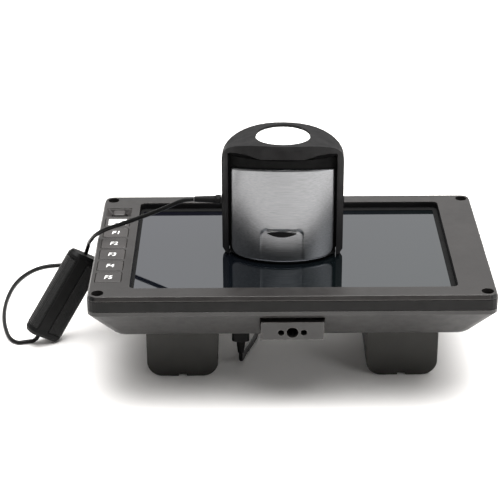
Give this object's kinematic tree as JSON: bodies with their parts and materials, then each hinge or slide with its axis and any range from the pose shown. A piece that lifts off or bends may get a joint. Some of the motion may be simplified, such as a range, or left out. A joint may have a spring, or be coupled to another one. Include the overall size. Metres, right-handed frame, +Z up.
{
  "type": "field monitor with display colorimeter",
  "caption": "Flat field monitor lying face up on battery packs, with a corded display colorimeter standing on its glass and an inline counterweight on the lead.",
  "frame": {"origin": "on the table, under the middle of the monitor", "axes": "+X along the wide side of the monitor, away from its keys; +Z up, out of the screen; -Y towards the side with the mounting block"},
  "size_m": [0.2707, 0.1751, 0.1318],
  "materials": {
    "bezel": "satin charcoal paint",
    "casing": "satin black paint",
    "steel": "satin",
    "glass": "polished",
    "panel": "dark, off",
    "metal": "satin",
    "board": "solder resist",
    "key": "fine matte",
    "black": "fine matte",
    "battery": "satin",
    "rubber": "smooth",
    "silver": "brushed",
    "white": "translucent diffuser",
    "lens": "polished"
  },
  "bodies": {
    "monitor": {"front_bezel": "bezel", "chassis_frame": "casing", "rear_casing": "casing", "mount_block": "casing", "bezel_screw_1": "steel", "bezel_screw_2": "steel", "bezel_screw_3": "steel", "bezel_screw_4": "steel", "video_socket_in": "steel", "video_socket_out": "steel", "hdmi_socket": "steel", "usb_socket": "steel", "usb_plug_shell": "steel", "weight_slug": "steel", "cover_glass": "glass", "lcd_panel": "panel", "backlight_tray": "metal", "heat_sink": "metal", "main_board": "board", "button_board": "board", "sensor_board": "board", "battery_plate_left": "black", "battery_plate_right": "black", "connector_bay": "black", "sensor_shell": "black", "sensor_base": "black", "rear_plate": "black", "pivot_pin_left": "black", "pivot_pin_right": "black", "headphone_socket": "rubber", "power_socket": "rubber", "usb_plug_body": "rubber", "plug_strain_relief": "rubber", "foam_pad": "rubber", "cable_boot": "rubber", "weight_front_shell": "rubber", "weight_rear_shell": "rubber", "weight_grip_left": "rubber", "weight_grip_right": "rubber", "lead_upper": "rubber", "lead_loop": "rubber", "lead_tail": "rubber", "lead_coil": "rubber", "front_plate": "silver", "sensor_lens": "lens"},
    "diffuser": {"diffuser_arm": "black", "diffuser_disc": "white"},
    "menu_key": {"menu_button": "key"},
    "f1_key": {"f1_button": "key"},
    "f2_key": {"f2_button": "key"},
    "f3_key": {"f3_button": "key"},
    "f4_key": {"f4_button": "key"},
    "f5_key": {"f5_button": "key"},
    "stick_press": {"joystick_carrier": "black"},
    "stick_gimbal": {"joystick_gimbal": "black"},
    "stick": {"joystick_cap": "key"},
    "pack_left": {"battery_left": "battery"},
    "pack_right": {"battery_right": "battery"},
    "latch_left": {"battery_latch_left": "rubber"},
    "latch_right": {"battery_latch_right": "rubber"}
  },
  "joints": [
    {"name": "arm_swing", "type": "hinge", "parent": "monitor", "child": "diffuser", "pos_m": [-0.0039, -0.002, 0.0944], "axis": [0.999, -0.0436, 0], "range_deg": [-110, 110]},
    {"name": "menu_press", "type": "slide", "parent": "monitor", "child": "menu_key", "axis": [0, 0, -1], "range_m": [0, 0.0008], "stiffness_N_per_m": 3750},
    {"name": "f1_press", "type": "slide", "parent": "monitor", "child": "f1_key", "axis": [0, 0, -1], "range_m": [0, 0.0008], "stiffness_N_per_m": 3750},
    {"name": "f2_press", "type": "slide", "parent": "monitor", "child": "f2_key", "axis": [0, 0, -1], "range_m": [0, 0.0008], "stiffness_N_per_m": 3750},
    {"name": "f3_press", "type": "slide", "parent": "monitor", "child": "f3_key", "axis": [0, 0, -1], "range_m": [0, 0.0008], "stiffness_N_per_m": 3750},
    {"name": "f4_press", "type": "slide", "parent": "monitor", "child": "f4_key", "axis": [0, 0, -1], "range_m": [0, 0.0008], "stiffness_N_per_m": 3750},
    {"name": "f5_press", "type": "slide", "parent": "monitor", "child": "f5_key", "axis": [0, 0, -1], "range_m": [0, 0.0008], "stiffness_N_per_m": 3750},
    {"name": "stick_press", "type": "slide", "parent": "monitor", "child": "stick_press", "axis": [0, 0, -1], "range_m": [0, 0.0005], "stiffness_N_per_m": 6000},
    {"name": "stick_tilt_x", "type": "hinge", "parent": "stick_press", "child": "stick_gimbal", "pos_m": [-0.0945, 0.0411, 0.0638], "axis": [1, 0, 0], "range_deg": [-8, 8], "stiffness_Nm_per_rad": 0.05},
    {"name": "stick_tilt_y", "type": "hinge", "parent": "stick_gimbal", "child": "stick", "pos_m": [-0.0945, 0.0411, 0.0638], "axis": [0, 1, 0], "range_deg": [-8, 8], "stiffness_Nm_per_rad": 0.05},
    {"name": "pack_left_slide", "type": "slide", "parent": "monitor", "child": "pack_left", "axis": [0, 1, 0], "range_m": [0, 0.01]},
    {"name": "pack_right_slide", "type": "slide", "parent": "monitor", "child": "pack_right", "axis": [0, 1, 0], "range_m": [0, 0.01]},
    {"name": "latch_left_slide", "type": "slide", "parent": "monitor", "child": "latch_left", "axis": [0, -1, 0], "range_m": [0, 0.003], "stiffness_N_per_m": 900},
    {"name": "latch_right_slide", "type": "slide", "parent": "monitor", "child": "latch_right", "axis": [0, -1, 0], "range_m": [0, 0.003], "stiffness_N_per_m": 900}
  ]
}
